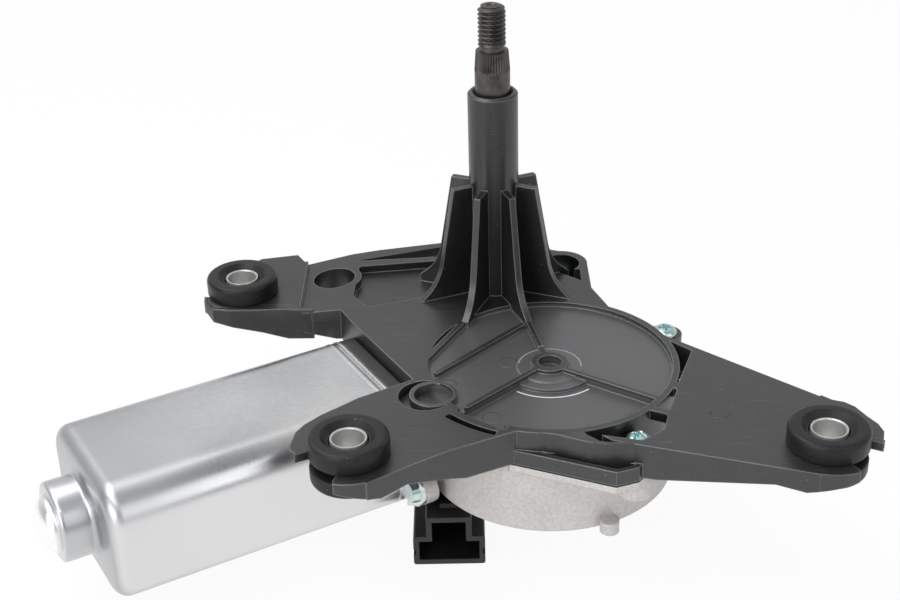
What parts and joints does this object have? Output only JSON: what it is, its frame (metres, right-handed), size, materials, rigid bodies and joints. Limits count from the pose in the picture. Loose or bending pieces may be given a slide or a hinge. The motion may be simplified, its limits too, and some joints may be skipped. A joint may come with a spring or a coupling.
{
  "type": "wiper motor",
  "caption": "Rear wiper motor: worm-geared motor in a drawn can, cast housing, moulded cover with arms and grommets, and a ribbed tower for the oscillating shaft.",
  "frame": {"origin": "output shaft's axis, on the plane of the three sleeves' top ends", "axes": "+Z out of the tower along the shaft, +X from the left front sleeve to the right one, +Y to the tower side"},
  "size_m": [0.222, 0.1304, 0.1383],
  "materials": {
    "cover_plastic": "dark glass-filled, slightly satin",
    "casting": "as cast light alloy",
    "can_steel": "zinc plated, smooth",
    "gasket_rubber": "matte",
    "grommet_rubber": "matte",
    "sleeve_steel": "zinc plated",
    "screw_zinc": "blue-white zinc",
    "shaft_steel": "blackened",
    "bronze": "sintered",
    "spring_steel": "bright",
    "gear_steel": "machined",
    "gear_plastic": "natural acetal",
    "copper": "bright",
    "switch_plastic": "moulded",
    "lamination": "stacked sheet",
    "ferrite": "ground ferrite",
    "carbon": "pressed carbon",
    "connector_plastic": "black",
    "pin_metal": "tin plated"
  },
  "bodies": {
    "root": {"cover": "cover_plastic", "gear_housing": "casting", "motor_can": "can_steel", "case_gasket": "gasket_rubber", "grommet_left": "grommet_rubber", "grommet_right": "grommet_rubber", "grommet_rear": "grommet_rubber", "sleeve_left": "sleeve_steel", "sleeve_right": "sleeve_steel", "sleeve_rear": "sleeve_steel", "cover_screws": "screw_zinc", "can_screws": "screw_zinc", "tower_bush_upper": "bronze", "tower_bush_lower": "bronze", "shaft_seal": "gasket_rubber", "gear_axle": "gear_steel", "axle_clip": "spring_steel", "contact_carrier": "switch_plastic", "park_contacts": "copper", "front_bearing": "bronze", "rear_bearing": "bronze", "bearing_retainer": "spring_steel", "field_magnets": "ferrite", "brush_card": "switch_plastic", "brushes": "carbon", "brush_springs": "spring_steel", "connector_housing": "connector_plastic", "terminals": "pin_metal"},
    "armature": {"armature_shaft": "gear_steel", "armature_core": "lamination", "armature_windings": "copper", "commutator": "copper", "thrust_ball": "spring_steel"},
    "wheel": {"worm_wheel": "gear_plastic", "park_disc": "copper"},
    "output": {"output_shaft": "shaft_steel", "output_pinion": "gear_steel", "shaft_clip": "spring_steel"},
    "keeper": {"keeper_link": "spring_steel"},
    "rod": {"sector_rod": "gear_steel", "rod_pin": "gear_steel", "crank_pin": "gear_steel"}
  },
  "joints": [
    {"name": "armature_spin", "type": "hinge", "parent": "root", "child": "armature", "pos_m": [-0.00089, -0.01895, -0.026], "axis": [0.8682, 0.4962, 0], "continuous": true},
    {"name": "wheel_spin", "type": "hinge", "parent": "root", "child": "wheel", "pos_m": [0.014, -0.045, -0.026], "axis": [0, 0, 1], "continuous": true},
    {"name": "output_swing", "type": "hinge", "parent": "root", "child": "output", "pos_m": [0, 0, 0], "axis": [0, 0, 1], "range_deg": [0, 120]},
    {"name": "keeper_swing", "type": "hinge", "parent": "root", "child": "keeper", "pos_m": [0, 0, -0.0167], "axis": [0, 0, 1], "range_deg": [0, 40]},
    {"name": "rod_swing", "type": "hinge", "parent": "keeper", "child": "rod", "pos_m": [-0.02026, -0.00979, -0.0128], "axis": [0, 0, 1], "range_deg": [-40, 0]}
  ],
  "couplings": [
    {"joint": "wheel_spin", "follows": "armature_spin", "ratio": 0.019231},
    {"joint": "keeper_swing", "follows": "output_swing", "ratio": 0.33333},
    {"joint": "rod_swing", "follows": "output_swing", "ratio": -0.33333}
  ]
}
